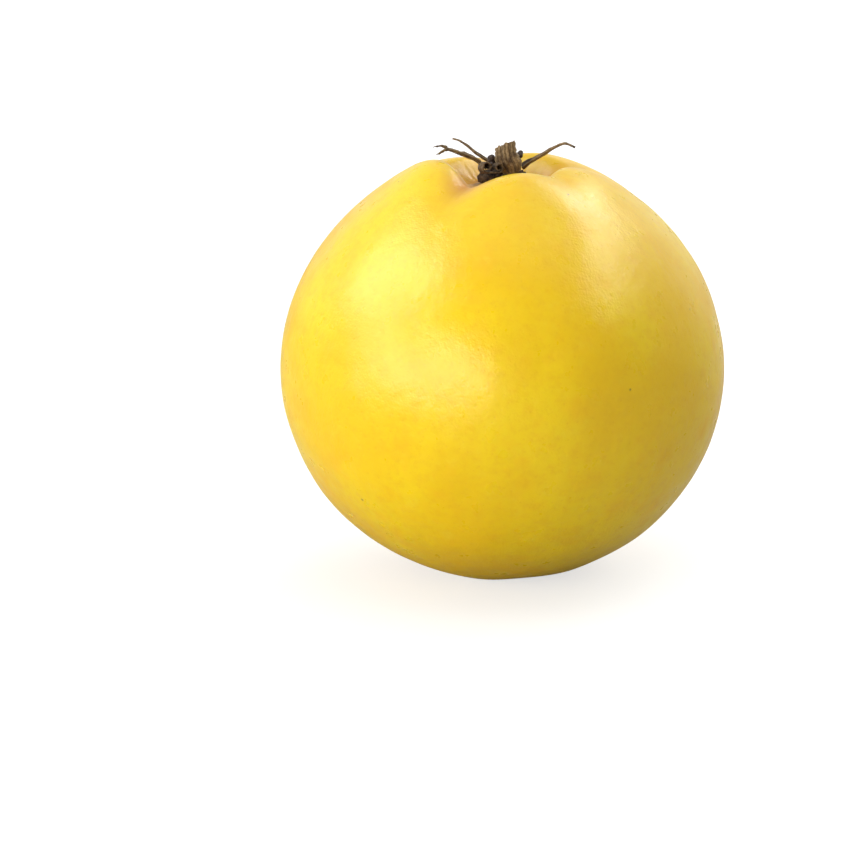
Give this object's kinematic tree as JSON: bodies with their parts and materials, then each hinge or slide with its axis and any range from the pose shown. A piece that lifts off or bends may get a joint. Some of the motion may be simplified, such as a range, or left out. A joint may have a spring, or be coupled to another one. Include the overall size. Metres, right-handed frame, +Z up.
{
  "type": "quince",
  "caption": "Whole ripe quince resting on its stem end, lobed round a calyx basin that holds a dry cup with sepals, stamens and styles.",
  "frame": {"origin": "on the ground under the fruit's axis, at the bottom centre of its bounding box", "axes": "+Z up along the fruit's axis to the calyx, -Y to the front, +X to the right seen from the front"},
  "size_m": [0.0885, 0.0869, 0.0872],
  "materials": {
    "skin": "smooth waxy skin, satin",
    "dry_sepal": "dry and wrinkled, dull",
    "dry_cup": "dry and crusty, dull",
    "dry_stamen": "dry, dull",
    "wood": "rough bark, dull"
  },
  "bodies": {
    "root": {"fruit_body": "skin", "calyx_cup": "dry_cup", "sepal_left": "dry_sepal", "sepal_rear": "dry_sepal", "sepal_right": "dry_sepal", "sepal_upright": "dry_sepal", "sepal_scrolled": "dry_sepal", "stamen_01": "dry_stamen", "stamen_02": "dry_stamen", "stamen_03": "dry_stamen", "stamen_04": "dry_stamen", "stamen_05": "dry_stamen", "stamen_06": "dry_stamen", "stamen_07": "dry_stamen", "stamen_08": "dry_stamen", "stamen_09": "dry_stamen", "stamen_10": "dry_stamen", "stamen_11": "dry_stamen", "stamen_12": "dry_stamen", "stamen_13": "dry_stamen", "stamen_14": "dry_stamen", "stamen_15": "dry_stamen", "style_1": "dry_stamen", "style_2": "dry_stamen", "style_3": "dry_stamen", "style_4": "dry_stamen", "style_5": "dry_stamen", "stem_stub": "wood"}
  },
  "joints": []
}
